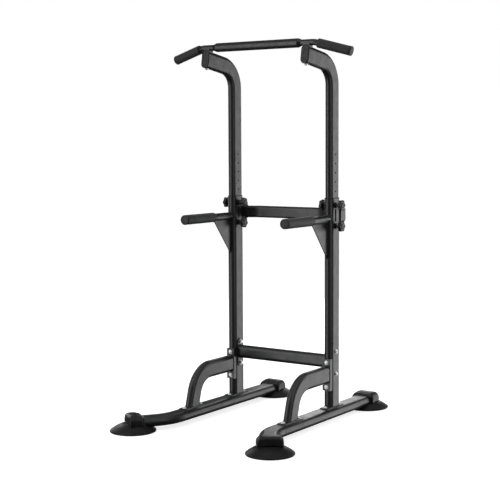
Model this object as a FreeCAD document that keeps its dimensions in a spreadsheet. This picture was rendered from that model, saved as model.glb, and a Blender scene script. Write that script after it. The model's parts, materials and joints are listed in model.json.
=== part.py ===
"""Power tower: a free-standing pull-up and dip station with a height-adjustable upper frame.

Frame: millimetres, +Z up, the front faces -Y, +X is the right-hand side frame.
Origin: middle of the object's bounding box in plan, on the floor.
"""
import FreeCAD, Part
import Sketcher
import math
import os
import re

Vector = FreeCAD.Vector
Placement = FreeCAD.Placement
Rotation = FreeCAD.Rotation

SIZES = {
    # side frames
    "upright_offset": 290,
    "plan_shift": 181.35,
    # base rails: flat-oval tube lying flat
    "rail_breadth": 96, "rail_height": 48, "rail_wall": 2.5, "rail_axis": 43.5,
    "seam_setback": 8, "seam_gap": 0.4,
    "front_run": 496, "rail_bend": 217, "rail_splay": 36, "front_reach": 133,
    "rear_run": 389, "rail_overlap": 24, "sleeve_length": 170, "sleeve_play": 0.2,
    # rubber feet
    "dish_radius": 113, "dish_rim": 9, "dish_crown": 49, "dish_height": 41,
    "hollow_radius": 98, "hollow_crown": 60, "hollow_depth": 10, "foot_play": 0.15,
    "hood_breadth": 126, "hood_top": 84, "hood_base": 26, "hood_corner": 27,
    "hood_front": 29, "hood_back": 44, "hood_wall": 6, "hood_gap": 1.5, "hood_rake": 40, "hood_lip": 2,
    # arch braces: flat-oval tube bent over the front rail
    "arch_axis": 238, "arch_run": 188.5, "arch_bend": 129, "arch_turn": 74, "arch_reach": 95,
    "plate_thick": 5, "plate_breadth": 48, "upright_plate": 150, "arch_plate": 156, "arch_foot": 384,
    "upright_bolt_gap": 126, "arch_bolt_gap": 132,
    "flange_height": 158, "flange_breadth": 44, "flange_lead": 6, "flange_wrap": 16,
    "flange_middle": 236, "flange_bolt_gap": 122,
    # uprights and the telescoping mast inside them
    "upright_breadth": 48, "upright_depth": 94, "upright_wall": 2, "upright_top": 1106,
    "mast_breadth": 41, "mast_depth": 87, "mast_wall": 2, "mast_foot": 700,
    "mast_run": 956.7, "mast_bend": 116, "mast_turn": 81, "mast_reach": 152.5,
    "bush_length": 66, "bush_play": 0.3, "bush_lip": 4, "bush_fit": 0.05, "bush_overhang": 3,
    "bore_play": 0.5,
    "hole_pitch": 45, "hole_radius": 4.5, "pin_height": 1073.5, "row_height": 1142.5,
    "row_holes": 5, "lower_holes": 2,
    # star knobs and locking pins
    "knob_gap": 102, "knob_radius": 28, "knob_thick": 24, "knob_lobe": 9.5, "knob_hub": 13,
    "knob_stand": 41, "knob_step": 4, "knob_dish": 2, "knob_web": 1, "boss_radius": 14, "boss_length": 8,
    "shank_radius": 6, "tip_radius": 4, "tip_shoulder": 26, "tip_end": 21.2, "pin_fit": 0.06,
    "pin_cover": 6, "pin_gap": 0.1, "clamp_end": 21.6, "clamp_root": 5,
    # lower crossbar
    "cross_height": 68, "cross_depth": 38, "cross_wall": 2, "cross_axis": 296,
    "cross_plate_height": 148, "cross_plate_breadth": 44, "cross_bolt_middle": 291.5, "cross_bolt_gap": 111,
    # back brace
    "brace_height": 61, "brace_depth": 26, "brace_wall": 2, "brace_axis": 1025, "brace_setback": 75,
    "brace_run": 162, "brace_bend": 150, "brace_turn": 25, "brace_reach": 43,
    "bracket_thick": 4, "bracket_front": -5,
    "block_breadth": 68, "block_height": 71, "block_corner": 12, "block_front": 30, "block_back": 75,
    "screw_middle": 1020, "screw_gap": 26,
    # dip handles
    "dip_height": 1006, "dip_end": 430, "dip_radius": 19, "dip_wall": 2,
    "dip_grip_radius": 24.5, "dip_grip_start": 195, "dip_cap_thick": 5, "dip_root": 20,
    "gusset_thick": 5, "gusset_drop": 193, "gusset_length": 158, "gusset_root": 10, "gusset_lift": 6,
    # pull-up bar
    "bar_radius": 22, "bar_neck": 15, "bar_wall": 2, "bar_straight": 237, "bar_taper": 19, "bar_joint": 262,
    "bar_shoulder": 4, "bar_setback": 17, "bar_lift": 0.4,
    "saddle_length": 32, "saddle_breadth": 34, "saddle_drop": 11, "saddle_height": 21,
    "arm_run": 54, "arm_bend": 60, "arm_turn": 17, "arm_reach": 180, "arm_sweep": 28.7,
    "arm_grip_radius": 22.5, "arm_grip_start": 10, "grip_play": 0.05, "arm_cap_thick": 5, "arm_cap_lip": 0.8,
    "neck_cap_thick": 5, "neck_cap_lip": 2, "neck_plug": 7, "plug_play": 0.1, "cap_plug": 12, "join_depth": 1,
    # bolts
    "bolt_radius": 5, "bolt_play": 0.06, "head_radius": 8.5, "head_crown": 6, "head_height": 5.5,
    "washer_radius": 10.5, "washer_thick": 1.6, "nut_height": 7,
    "foot_bolt_length": 20, "flange_bolt_length": 18, "cross_bolt_spare": 10, "screw_length": 30.2,
    "saddle_bolt_gap": 0.1, "saddle_bolt_short": 0.5,
    # cutting tools: how long they are, and how far they pass a piece's faces
    "tool_margin": 5, "wall_hole_run": 30, "plate_hole_run": 60, "through_length": 120, "neck_hole_run": 200,
    "way_length": 150, "way_height": 60, "skirt_height": 30,
    "slope_run": 60, "slope_height": 40, "slope_spare": 1,
    "trim_breadth": 120, "trim_length": 300, "trim_height": 80, "mouth_size": 100, "weld_span": 40,
}

doc = FreeCAD.newDocument("power_tower")
sheet = doc.addObject("Spreadsheet::Sheet", "Sizes")
for row, (alias, value) in enumerate(SIZES.items(), start=1):
    sheet.set(f"A{row}", alias)
    sheet.set(f"B{row}", str(value))
    sheet.setAlias(f"B{row}", alias)
doc.recompute()

size = SIZES.__getitem__
nodes = []


# ---------------------------------------------------------------- document helpers
def linked(text):
    """An expression in sheet aliases, with each alias pointed at the sheet."""
    return re.sub(r"[a-z]+(_[a-z]+)+", lambda word: "Sizes." + word.group(0), str(text))


def bind(thing, **properties):
    """Bind an object's properties to expressions written in the sheet's aliases."""
    for name, text in properties.items():
        thing.setExpression(name.replace("__", "."), linked(text))
    return thing


def add(kind, name, place=None, **properties):
    thing = doc.addObject(kind, name)
    if place is not None:
        thing.Placement = place
    return bind(thing, **properties)


def at(x=0, y=0, z=0, axis=(0, 0, 1), angle=0):
    return Placement(Vector(x, y, z), Rotation(Vector(*axis), angle))


def facing(direction):
    """Rotation that turns +Z to a direction."""
    return Rotation(Vector(0, 0, 1), Vector(*direction))


def cylinder(name, radius, height, place):
    return add("Part::Cylinder", name, place, Radius=radius, Height=height)


def box(name, length, width, height, place):
    return add("Part::Box", name, place, Length=length, Width=width, Height=height)


def centred_box(name, length, width, height, middle_x, middle_y, low_z):
    block = box(name, length, width, height, at(z=low_z))
    doc.recompute()
    block.Placement.Base.x = middle_x - block.Length.Value / 2
    block.Placement.Base.y = middle_y - block.Width.Value / 2
    return block


def cut(name, base, *tools):
    """Take one or more tools away from a base."""
    tool = tools[0] if len(tools) == 1 else fuse(name + "_tools", *tools)
    result = doc.addObject("Part::Cut", name)
    result.Base = base
    result.Tool = tool
    return result


def fuse(name, *pieces):
    result = doc.addObject("Part::MultiFuse", name)
    result.Shapes = list(pieces)
    return result


def group(name, *pieces):
    """Several separate solids kept as one sub-part."""
    result = doc.addObject("Part::Compound", name)
    result.Links = list(pieces)
    return result


def mirrored(name, source):
    """The left-hand twin of a right-hand piece."""
    result = doc.addObject("Part::Mirroring", name)
    result.Source = source
    result.Normal = Vector(1, 0, 0)
    return result


def node(thing, label):
    """Name a finished sub-part; the label names its file."""
    thing.Label = label
    nodes.append(thing)
    return thing


def both(thing, label):
    """One sub-part that holds a small right-hand piece and its left-hand twin."""
    return node(group(label, thing, mirrored(label + "_twin", thing)), label)


def pair(thing, label):
    """Name a right-hand sub-part and add its left-hand twin."""
    node(thing, label + "_right")
    node(mirrored(label + "_twin", thing), label + "_left")
    return thing


# ---------------------------------------------------------------- sections and sweeps
def amount(text):
    """The value of a sum of products, such as 'rail_breadth - 2 * rail_wall'."""
    total = 0
    for term in re.findall(r"[+-]?[^+-]+", str(text).replace(" ", "")):
        product = -1 if term.startswith("-") else 1
        for factor in term.lstrip("+-").split("*"):
            product *= SIZES[factor] if factor in SIZES else float(factor)
        total += product
    return total


def oval_sketch(name, long_side, short_side, place):
    """A flat oval about the sketch origin, its long side along the sketch's X."""
    sketch = doc.addObject("Sketcher::SketchObject", name)
    nose = amount(short_side) / 2
    centre = amount(long_side) / 2 - nose
    up = Vector(0, 0, 1)
    right = Part.ArcOfCircle(Part.Circle(Vector(centre, 0, 0), up, nose), -math.pi / 2, math.pi / 2)
    left = Part.ArcOfCircle(Part.Circle(Vector(-centre, 0, 0), up, nose), math.pi / 2, 1.5 * math.pi)
    sketch.addGeometry(right)
    sketch.addGeometry(Part.LineSegment(Vector(centre, nose, 0), Vector(-centre, nose, 0)))
    sketch.addGeometry(left)
    sketch.addGeometry(Part.LineSegment(Vector(-centre, -nose, 0), Vector(centre, -nose, 0)))
    for first, second in ((0, 1), (1, 2), (2, 3), (3, 0)):
        sketch.addConstraint(Sketcher.Constraint("Tangent", first, 2, second, 1))
    sketch.addConstraint(Sketcher.Constraint("Horizontal", 1))
    sketch.addConstraint(Sketcher.Constraint("Symmetric", 0, 3, 2, 3, -1, 1))
    nose_radius = sketch.addConstraint(Sketcher.Constraint("Radius", 0, nose))
    spacing = sketch.addConstraint(Sketcher.Constraint("DistanceX", 2, 3, 0, 3, 2 * centre))
    sketch.renameConstraint(nose_radius, "nose")
    sketch.renameConstraint(spacing, "spacing")
    bind(sketch, Constraints__nose=f"({short_side}) / 2")
    bind(sketch, Constraints__spacing=f"({long_side}) - ({short_side})")
    sketch.Placement = place
    return sketch


def round_sketch(name, diameter, place):
    sketch = doc.addObject("Sketcher::SketchObject", name)
    sketch.addGeometry(Part.Circle(Vector(0, 0, 0), Vector(0, 0, 1), amount(diameter) / 2))
    sketch.addConstraint(Sketcher.Constraint("Coincident", 0, 3, -1, 1))
    radius = sketch.addConstraint(Sketcher.Constraint("Radius", 0, amount(diameter) / 2))
    sketch.renameConstraint(radius, "radius")
    bind(sketch, Constraints__radius=f"({diameter}) / 2")
    sketch.Placement = place
    return sketch


def bend_sketch(name, run, bend, turn, reach, place):
    """A path along the sketch's +Y, then a bend towards +X, then a straight end."""
    sketch = doc.addObject("Sketcher::SketchObject", name)
    straight, radius, angle = size(run), size(bend), math.radians(size(turn))
    corner = Vector(radius * (1 - math.cos(angle)), straight + radius * math.sin(angle), 0)
    onward = Vector(math.sin(angle), math.cos(angle), 0)
    circle = Part.Circle(Vector(radius, straight, 0), Vector(0, 0, 1), radius)
    sketch.addGeometry(Part.LineSegment(Vector(0, 0, 0), Vector(0, straight, 0)))
    sketch.addGeometry(Part.ArcOfCircle(circle, math.pi - angle, math.pi))
    sketch.addGeometry(Part.LineSegment(corner, corner + onward * size(reach)))
    sketch.addConstraint(Sketcher.Constraint("Coincident", 0, 1, -1, 1))
    sketch.addConstraint(Sketcher.Constraint("Vertical", 0))
    sketch.addConstraint(Sketcher.Constraint("Tangent", 0, 2, 1, 2))
    sketch.addConstraint(Sketcher.Constraint("Tangent", 1, 1, 2, 1))
    named = {
        "run": Sketcher.Constraint("Distance", 0, straight),
        "bend": Sketcher.Constraint("Radius", 1, radius),
        "turn": Sketcher.Constraint("Angle", 1, angle),
        "reach": Sketcher.Constraint("Distance", 2, size(reach)),
    }
    for key, constraint in named.items():
        sketch.renameConstraint(sketch.addConstraint(constraint), key)
    for key, alias in (("run", run), ("bend", bend), ("reach", reach)):
        sketch.setExpression("Constraints." + key, linked(alias))
    sketch.setExpression("Constraints.turn", linked(f"{turn} * 1 deg"))
    sketch.Placement = place
    return sketch


def prism(name, sketch, length):
    """A sketch pushed along its own normal."""
    solid = doc.addObject("Part::Extrusion", name)
    solid.Base = sketch
    solid.DirMode = "Normal"
    solid.Solid = True
    return bind(solid, LengthFwd=length)


def oval_prism(name, long_side, short_side, length, place):
    return prism(name, oval_sketch(name + "_section", long_side, short_side, place), length)


def oval_tube(name, long_side, short_side, wall, length, place):
    outer = oval_prism(name + "_outer", long_side, short_side, length, place)
    bore = oval_prism(name + "_bore", f"{long_side} - 2 * {wall}", f"{short_side} - 2 * {wall}",
                      length, place)
    return cut(name, outer, bore)


def sweep(name, section, path):
    solid = doc.addObject("Part::Sweep", name)
    solid.Sections = [section]
    solid.Spine = (path, ["Edge1", "Edge2", "Edge3"])
    solid.Solid = True
    return solid


def bent_tube(name, in_plane, across, wall, path_sizes, place):
    """A bent tube; in_plane is its section's size in the bend's plane, across the other one.

    The path starts at the placement's origin, runs along its +Y and bends towards its +X.
    """
    path = bend_sketch(name + "_path", *path_sizes, place)
    face = place.multiply(Placement(Vector(), Rotation(Vector(1, 0, 0), 90)))
    if amount(in_plane) == amount(across):
        outer = round_sketch(name + "_outside", in_plane, face)
        inner = round_sketch(name + "_inside", f"{in_plane} - 2 * {wall}", face)
    else:
        long_side, short_side = in_plane, across
        if amount(across) > amount(in_plane):
            long_side, short_side = across, in_plane
            face = face.multiply(Placement(Vector(), Rotation(Vector(0, 0, 1), 90)))
        outer = oval_sketch(name + "_outside", long_side, short_side, face)
        inner = oval_sketch(name + "_inside", f"{long_side} - 2 * {wall}", f"{short_side} - 2 * {wall}", face)
    return cut(name, sweep(name + "_solid", outer, path), sweep(name + "_hollow", inner, path))


def along_bend(run, bend, turn, distance, place):
    """The frame on a bent path, a distance past its bend: +Y along the path, +X inwards."""
    angle = math.radians(turn)
    corner = Vector(bend * (1 - math.cos(angle)), run + bend * math.sin(angle), 0)
    onward = Vector(math.sin(angle), math.cos(angle), 0)
    return place.multiply(Placement(corner + onward * distance, Rotation(Vector(0, 0, 1), -turn)))


# ---------------------------------------------------------------- fasteners
def dome_bolt(name, length, place):
    """A dome-headed bolt with its washer; its seat is the placement's origin, its head on +Z."""
    washer = cylinder(name + "_washer", "washer_radius", "washer_thick", place)
    head_place = place.multiply(at(z=size("washer_thick")))
    head = add("Part::Cone", name + "_head", head_place, Radius1="head_radius", Radius2="head_crown",
               Height="head_height")
    shank_place = place.multiply(at(z=-length))
    shank = cylinder(name + "_shank", "bolt_radius", str(length + size("washer_thick")), shank_place)
    return fuse(name, washer, head, shank)


def hex_nut(name, place):
    """A plain nut on its washer, bored to a running fit on the bolt."""
    prism_place = place.multiply(at(z=size("washer_thick")))
    nut = add("Part::Prism", name + "_hex", prism_place, Circumradius="head_radius", Height="nut_height")
    nut.Polygon = 6
    washer = cylinder(name + "_washer", "washer_radius", "washer_thick", place)
    bore = bolt_hole(name + "_bore", "wall_hole_run", place)
    return cut(name, fuse(name + "_body", nut, washer), bore)


def bolt_hole(name, run, place):
    """The tool for a bolt's hole, running both ways from the seat."""
    return cylinder(name, "bolt_radius + bolt_play", run, place.multiply(at(z=-size(run) / 2)))


SIDE = size("upright_offset")
SHIFT = size("plan_shift")
RAIL_TOP = size("rail_axis") + size("rail_height") / 2
PLATE_TOP = RAIL_TOP + size("plate_thick")
ALONG_X = facing((1, 0, 0))
ALONG_Y = Rotation(Vector(1, 0, 0), -90)
FORWARD = facing((0, -1, 0))
WEDGE_TIP = 0.01
EDGE_STEP = 1
KNOB_LOBES = 6
THROUGH = size("through_length")
MARGIN = size("tool_margin")


def spot(x, y, z, rotation=Rotation()):
    """A place in the uprights' frame, whose zero in Y is the uprights' centre plane."""
    return Placement(Vector(x, y + SHIFT, z), rotation)


def standing_oval(x, y, z):
    """Rotation and place of a section whose long side lies along Y and that rises along Z."""
    return spot(x, y, z, Rotation(Vector(0, 0, 1), 90))


def cross_bore(name, radius, z):
    """The tool for a hole through an upright from side to side."""
    return cylinder(name, radius, "through_length", spot(SIDE - THROUGH / 2, 0, z, ALONG_X))


def upright_envelope(name, low, high):
    length = str(high - low)
    return oval_prism(name, "upright_depth", "upright_breadth", length, standing_oval(SIDE, 0, low))


# ---------------------------------------------------------------- base rails and their joint
FLOOR_BOLTS = [side * size("upright_bolt_gap") / 2 for side in (-1, 1)]
ARCH_BOLTS = [-size("arch_foot") + side * size("arch_bolt_gap") / 2 for side in (-1, 1)]


def floor_holes(name, bolts):
    return [bolt_hole(f"{name}_{index}", "plate_hole_run", spot(SIDE, y, RAIL_TOP))
            for index, y in enumerate(bolts)]


def front_rail():
    start_y = -size("seam_setback") - size("seam_gap") / 2
    place = spot(SIDE, start_y, size("rail_axis"), Rotation(Vector(0, 0, 1), 180).multiply(
        Rotation(Vector(0, 1, 0), 180)))
    tube = bent_tube("front_rail_tube", "rail_breadth", "rail_height", "rail_wall",
                     ("front_run", "rail_bend", "rail_splay", "front_reach"), place)
    holes = floor_holes("front_rail_hole", [FLOOR_BOLTS[0]] + ARCH_BOLTS)
    pair(cut("front_rail", tube, *holes), "front_rail")
    return along_bend(size("front_run"), size("rail_bend"), size("rail_splay"), size("front_reach"), place)


def rear_rail():
    start_y = -size("seam_setback") + size("seam_gap") / 2
    place = spot(SIDE, start_y, size("rail_axis"), ALONG_Y)
    tube = oval_tube("rear_rail_tube", "rail_breadth", "rail_height", "rail_wall", "rear_run", place)
    pair(cut("rear_rail", tube, *floor_holes("rear_rail_hole", [FLOOR_BOLTS[1]])), "rear_rail")
    return place.multiply(at(z=size("rear_run")))


def rail_sleeve():
    """The liner that bridges the seam between the front and rear rails."""
    start_y = -size("seam_setback") - size("sleeve_length") / 2
    liner = oval_tube("rail_sleeve_tube", "rail_breadth - 2 * rail_wall - 2 * sleeve_play",
                      "rail_height - 2 * rail_wall - 2 * sleeve_play", "rail_wall", "sleeve_length",
                      spot(SIDE, start_y, size("rail_axis"), ALONG_Y))
    both(cut("rail_sleeve", liner, *floor_holes("rail_sleeve_hole", FLOOR_BOLTS)), "rail_sleeves")


# ---------------------------------------------------------------- rubber feet
def dish_cone(name, place, lift):
    """The dish's sloping top; lifted a little more, the tool that clears a hood of it."""
    return add("Part::Cone", name, place.multiply(at(z=lift)), Radius1="dish_radius", Radius2="dish_crown",
               Height="dish_height - dish_rim")


def shoulder_edges(block, place):
    """A hood block's two long top edges, each with its radius."""
    local = place.inverse()
    found = []
    for index, edge in enumerate(block.Shape.Edges, start=1):
        first, last = [local.multVec(vertex.Point) for vertex in edge.Vertexes]
        on_top = min(first.z, last.z) > size("hood_top") - EDGE_STEP
        if on_top and abs(first.y - last.y) > EDGE_STEP:
            found.append((index, size("hood_corner"), size("hood_corner")))
    return found


def foot(name, label, place):
    """A suction dish and the hood over the rail's end.

    The placement is on the floor under the dish's centre, +Y along the rail towards its end.
    """
    way_start = -size("way_length")
    way_run = "way_length + rail_overlap + foot_play"
    way_half = size("rail_breadth") / 2 + size("foot_play")
    rim = cylinder(name + "_rim", "dish_radius", "dish_rim", place)
    crown = dish_cone(name + "_crown", place, size("dish_rim"))
    hollow = add("Part::Cone", name + "_hollow", place, Radius1="hollow_radius", Radius2="hollow_crown",
                 Height="hollow_depth")
    rail = oval_prism(name + "_rail_way", "rail_breadth + 2 * foot_play", "rail_height + 2 * foot_play",
                      way_run, place.multiply(Placement(Vector(0, way_start, size("rail_axis")), ALONG_Y)))
    above = box(name + "_above", "rail_breadth + 2 * foot_play", way_run, "way_height",
                place.multiply(at(-way_half, way_start, size("rail_axis"))))
    node(cut(name + "_dish", fuse(name + "_cone", rim, crown), hollow, rail, above), "dish_" + label)

    hood_half = size("hood_breadth") / 2
    block = box(name + "_block", "hood_breadth", "hood_front + hood_back", "hood_top - hood_base",
                place.multiply(at(-hood_half, -size("hood_back"), size("hood_base"))))
    doc.recompute()
    shell = doc.addObject("Part::Fillet", name + "_shell")
    shell.Base = block
    shell.Edges = shoulder_edges(block, place)
    spare = size("slope_spare")
    slope_start = Vector(-hood_half - spare, -size("hood_back") - spare, RAIL_TOP + size("hood_lip"))
    slope = box(name + "_slope", "hood_breadth + 2 * slope_spare", "slope_run", "slope_height",
                place.multiply(Placement(slope_start, Rotation(Vector(1, 0, 0), size("hood_rake")))))
    skirt_start = at(size("hood_wall") - hood_half, way_start, size("rail_axis") - size("skirt_height"))
    skirt = box(name + "_skirt", "hood_breadth - 2 * hood_wall", way_run, "skirt_height",
                place.multiply(skirt_start))
    clear = dish_cone(name + "_clear", place, size("dish_rim") + size("hood_gap"))
    node(cut(name + "_hood", shell, rail, slope, skirt, clear), "hood_" + label)


# ---------------------------------------------------------------- arch braces and foot plates
def arch_brace():
    """The bent tube from the upright's front down to the front rail, trimmed flat on its foot plate."""
    lead = -size("upright_depth") / 2 - size("flange_lead")
    # the path runs forward and bends towards the floor
    frame = Rotation(Vector(0, 0, -1), Vector(0, -1, 0), Vector(-1, 0, 0), "XYZ")
    tube = bent_tube("arch_tube", "mast_depth", "mast_breadth", "mast_wall",
                     ("arch_run", "arch_bend", "arch_turn", "arch_reach"),
                     spot(SIDE, lead, size("arch_axis"), frame))
    below = centred_box("arch_trim", "trim_breadth", "trim_length", "trim_height",
                        SIDE, SHIFT - size("arch_foot"), PLATE_TOP - size("trim_height"))
    pair(cut("arch_brace", tube, below), "arch_brace")


def foot_plates():
    """Welded plates that bolt each upright and each arch to the rail."""
    def plate(name, length, middle, bolts):
        slab = centred_box(name + "_slab", "plate_breadth", length, "plate_thick",
                           SIDE, middle + SHIFT, RAIL_TOP)
        return cut(name, slab, *floor_holes(name + "_hole", bolts))
    both(plate("upright_plate_cut", "upright_plate", 0, FLOOR_BOLTS), "upright_foot_plates")
    both(plate("arch_plate_cut", "arch_plate", -size("arch_foot"), ARCH_BOLTS), "arch_foot_plates")


FLANGE_BOLTS = [size("flange_middle") + side * size("flange_bolt_gap") / 2 for side in (-1, 1)]


def arch_flange():
    """The cast pad that seats the arch's end on the upright's rounded front."""
    front = -size("upright_depth") / 2 - size("flange_lead")
    low = size("flange_middle") - size("flange_height") / 2
    depth = size("flange_lead") + size("flange_wrap")
    block = centred_box("arch_flange_block", "flange_breadth", "flange_lead + flange_wrap", "flange_height",
                        SIDE, front + depth / 2 + SHIFT, low)
    tube = upright_envelope("arch_flange_seat", low - MARGIN, low + size("flange_height") + MARGIN)
    holes = [bolt_hole(f"arch_flange_hole_{index}", "plate_hole_run", spot(SIDE, front, z, FORWARD))
             for index, z in enumerate(FLANGE_BOLTS)]
    both(cut("arch_flange", block, tube, *holes), "arch_flanges")
    return front


# ---------------------------------------------------------------- uprights
KNOB_HEIGHTS = [size("pin_height"), size("pin_height") - size("knob_gap")]
BRACKET_SCREWS = [size("screw_middle") + side * size("screw_gap") / 2 for side in (-1, 1)]
CROSS_BOLTS = [size("cross_bolt_middle") + side * size("cross_bolt_gap") / 2 for side in (-1, 1)]


def lower_upright(flange_front):
    tube = oval_tube("upright_tube", "upright_depth", "upright_breadth", "upright_wall",
                     str(size("upright_top") - PLATE_TOP), standing_oval(SIDE, 0, PLATE_TOP))
    bosses, tools = [], []
    for index, z in enumerate(KNOB_HEIGHTS):
        for side in (-1, 1):
            seat = SIDE + side * size("upright_breadth") / 2
            place = spot(seat, 0, z, facing((side, 0, 0)))
            bosses.append(cylinder(f"boss_{index}_{side + 1}", "boss_radius", "boss_length", place))
        tools.append(cross_bore(f"knob_bore_{index}", "shank_radius + pin_fit", z))
    for index, z in enumerate(CROSS_BOLTS):
        tools.append(cross_bore(f"cross_bore_{index}", "bolt_radius + bolt_play", z))
    for index, z in enumerate(FLANGE_BOLTS):
        place = spot(SIDE, flange_front, z, FORWARD)
        tools.append(bolt_hole(f"flange_bore_{index}", "plate_hole_run", place))
    for index, z in enumerate(BRACKET_SCREWS):
        tools.append(bolt_hole(f"bracket_bore_{index}", "through_length", bracket_seat(z)))
    core = oval_prism("upright_core", "upright_depth - 2 * upright_wall",
                      "upright_breadth - 2 * upright_wall", str(size("upright_top") - PLATE_TOP),
                      standing_oval(SIDE, 0, PLATE_TOP))
    body = cut("upright_clear", fuse("upright_bossed", tube, *bosses), core)
    pair(cut("lower_upright", body, *tools), "lower_upright")


def guide_bush():
    """The lined collar that the mast runs through at the top of the upright."""
    top = size("upright_top")
    less = "2 * upright_wall - 2 * bush_fit"
    sleeve = oval_prism("bush_sleeve", f"upright_depth - {less}", f"upright_breadth - {less}", "bush_length",
                        standing_oval(SIDE, 0, top - size("bush_length")))
    lip = oval_prism("bush_collar", "upright_depth + bush_overhang", "upright_breadth + bush_overhang",
                     "bush_lip", standing_oval(SIDE, 0, top))
    way = oval_prism("bush_way", "mast_depth + 2 * bush_play", "mast_breadth + 2 * bush_play",
                     "bush_length + bush_lip + 2 * tool_margin",
                     standing_oval(SIDE, 0, top - size("bush_length") - MARGIN))
    bore = cross_bore("bush_bore", "shank_radius + bore_play", KNOB_HEIGHTS[0])
    both(cut("guide_bush", fuse("bush_body", sleeve, lip), way, bore), "guide_bushes")


# ---------------------------------------------------------------- crossbar and back brace
def crossbar():
    reach = SIDE - size("upright_breadth") / 2 - size("plate_thick")
    lying = Rotation(Vector(0, 0, 1), Vector(0, -1, 0), Vector(1, 0, 0), "XYZ")
    bar = oval_tube("crossbar_tube", "cross_height", "cross_depth", "cross_wall", str(2 * reach),
                    spot(-reach, 0, size("cross_axis"), lying))
    node(bar, "lower_crossbar")
    plate = oval_prism("cross_plate_slab", "cross_plate_height", "cross_plate_breadth", "plate_thick",
                       spot(reach, 0, size("cross_bolt_middle"), lying))
    holes = [cross_bore(f"cross_plate_hole_{index}", "bolt_radius + bolt_play", z)
             for index, z in enumerate(CROSS_BOLTS)]
    both(cut("cross_plate", plate, *holes), "crossbar_plates")
    return reach


def bracket_seat(z):
    """Where a bracket screw's washer sits on the block's back."""
    return spot(SIDE, size("block_back"), z, facing((0, 1, 0)))


def bracket_block():
    """The block behind the upright that takes the brace's end, its corners rounded as seen from behind."""
    middle = (size("block_front") + size("block_back")) / 2
    blank = centred_box("bracket_blank", "block_breadth", "block_back - block_front", "block_height",
                        SIDE, middle + SHIFT, size("brace_axis") - size("block_height") / 2)
    doc.recompute()
    block = doc.addObject("Part::Fillet", "bracket_block")
    block.Base = blank
    block.Edges = [(index, size("block_corner"), size("block_corner"))
                   for index, edge in enumerate(blank.Shape.Edges, start=1)
                   if abs(edge.Vertexes[0].Y - edge.Vertexes[1].Y) > EDGE_STEP]
    return block


def back_brace():
    """The rearward bow between the uprights and the brackets that hold its ends."""
    block = bracket_block()
    low = size("brace_axis") - size("brace_height") / 2
    frame = Rotation(Vector(0, -1, 0), Vector(1, 0, 0), Vector(0, 0, 1), "XYZ")
    place = spot(0, size("brace_setback"), size("brace_axis"), frame)
    half = bent_tube("brace_half", "brace_depth", "brace_height", "brace_wall",
                     ("brace_run", "brace_bend", "brace_turn", "brace_reach"), place)
    trimmed = cut("brace_trimmed", half, block)
    node(fuse("back_brace", trimmed, mirrored("brace_twin", trimmed)), "back_brace")
    wrap = oval_prism("bracket_wrap", "upright_depth + 2 * bracket_thick",
                      "upright_breadth + 2 * bracket_thick", "brace_height", standing_oval(SIDE, 0, low))
    front = centred_box("bracket_mouth", "mouth_size", "mouth_size", "brace_height + 2 * tool_margin",
                        SIDE, size("bracket_front") - size("mouth_size") / 2 + SHIFT, low - MARGIN)
    body = fuse("bracket_body", cut("bracket_open", wrap, front), block)
    reach = size("block_height") / 2 + MARGIN
    seat = upright_envelope("bracket_seat", size("brace_axis") - reach, size("brace_axis") + reach)
    holes = [bolt_hole(f"bracket_hole_{index}", "through_length", bracket_seat(z))
             for index, z in enumerate(BRACKET_SCREWS)]
    both(cut("brace_bracket", body, seat, *holes), "brace_brackets")


# ---------------------------------------------------------------- dip handles
def end_cap(name, disc_radius, disc_thick, plug_radius, end):
    """A round end cap: a disc on the tube's end and a plug inside it."""
    disc = cylinder(name + "_disc", disc_radius, disc_thick, end)
    plug = cylinder(name + "_plug", plug_radius, "cap_plug + join_depth",
                    end.multiply(at(z=-size("cap_plug"))))
    return fuse(name, disc, plug)


def dip_handle():
    """The forward tube that is welded to the upright, its foam grip and its end cap."""
    height, span = size("dip_height"), size("weld_span")
    start = -size("upright_depth") / 2 + size("dip_root")
    length = str(size("dip_end") + start)
    rod = cylinder("dip_rod", "dip_radius", length, spot(SIDE, start, height, FORWARD))
    bore = cylinder("dip_bore", "dip_radius - dip_wall", length, spot(SIDE, start, height, FORWARD))
    seat = upright_envelope("dip_seat", height - span, height + span)
    pair(cut("dip_handle", rod, bore, seat), "dip_handle")

    grip_place = spot(SIDE, -size("dip_grip_start"), height, FORWARD)
    grip = cylinder("dip_foam", "dip_grip_radius", "dip_end - dip_grip_start", grip_place)
    way = cylinder("dip_foam_way", "dip_radius + grip_play", "dip_end - dip_grip_start", grip_place)
    pair(cut("dip_grip", grip, way), "dip_grip")
    both(end_cap("dip_cap", "dip_grip_radius", "dip_cap_thick", "dip_radius - dip_wall - grip_play",
                 spot(SIDE, -size("dip_end"), height, FORWARD)), "dip_end_caps")


def dip_gusset():
    """The triangular web under each dip handle."""
    root = -size("upright_depth") / 2 + size("gusset_root")
    top = size("dip_height") - size("dip_radius") + size("gusset_lift")
    # wedge axes: X forward, Y down, Z across
    frame = Rotation(Vector(0, -1, 0), Vector(0, 0, -1), Vector(1, 0, 0), "XYZ")
    web = add("Part::Wedge", "gusset_web", spot(SIDE - size("gusset_thick") / 2, root, top, frame),
              Xmax="gusset_length", Ymax="gusset_drop", Zmax="gusset_thick", Z2max="gusset_thick")
    web.Xmin, web.Ymin, web.Zmin = 0, 0, 0
    web.X2min, web.Z2min = 0, 0
    web.X2max = WEDGE_TIP
    low = size("dip_height") - size("gusset_drop") - size("weld_span")
    seat = upright_envelope("gusset_seat", low, size("dip_height") + size("weld_span"))
    rod = cylinder("gusset_rod", "dip_radius", "dip_end", spot(SIDE, 0, size("dip_height"), FORWARD))
    pair(cut("dip_gusset", web, seat, rod), "dip_gusset")


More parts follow.
